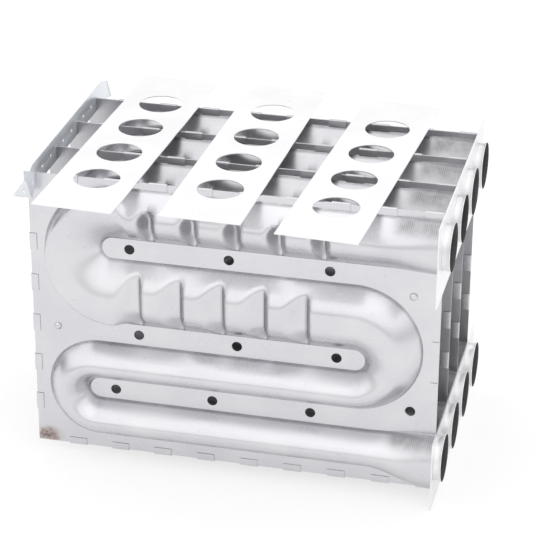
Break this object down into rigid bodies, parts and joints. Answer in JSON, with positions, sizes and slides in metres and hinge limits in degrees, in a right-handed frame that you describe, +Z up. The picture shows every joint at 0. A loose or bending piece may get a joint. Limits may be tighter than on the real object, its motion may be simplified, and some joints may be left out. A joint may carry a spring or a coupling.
{
  "type": "furnace heat exchanger",
  "caption": "Furnace heat exchanger: stamped clamshell cells with serpentine passages, tube ends through end plates, a comb bracket at the closed end and perforated straps on top.",
  "frame": {"origin": "bottom centre of the overall bounding box", "axes": "+X from the closed end of the cells to their tube ends, +Y from the front cell to the rear one, +Z up"},
  "size_m": [0.5238, 0.4378, 0.396],
  "materials": {
    "aluminised_sheet": "satin aluminised steel sheet",
    "strap_sheet": "satin aluminised steel strip",
    "galvanised_sheet": "dull galvanised steel sheet"
  },
  "bodies": {
    "root": {"cell_1_front_half": "aluminised_sheet", "cell_1_rear_half": "aluminised_sheet", "cell_2_front_half": "aluminised_sheet", "cell_2_rear_half": "aluminised_sheet", "cell_3_front_half": "aluminised_sheet", "cell_3_rear_half": "aluminised_sheet", "cell_4_front_half": "aluminised_sheet", "cell_4_rear_half": "aluminised_sheet", "outlet_plate": "aluminised_sheet", "inlet_plate": "aluminised_sheet", "left_strap": "strap_sheet", "middle_strap": "strap_sheet", "right_strap": "strap_sheet", "comb_bracket": "galvanised_sheet"}
  },
  "joints": []
}
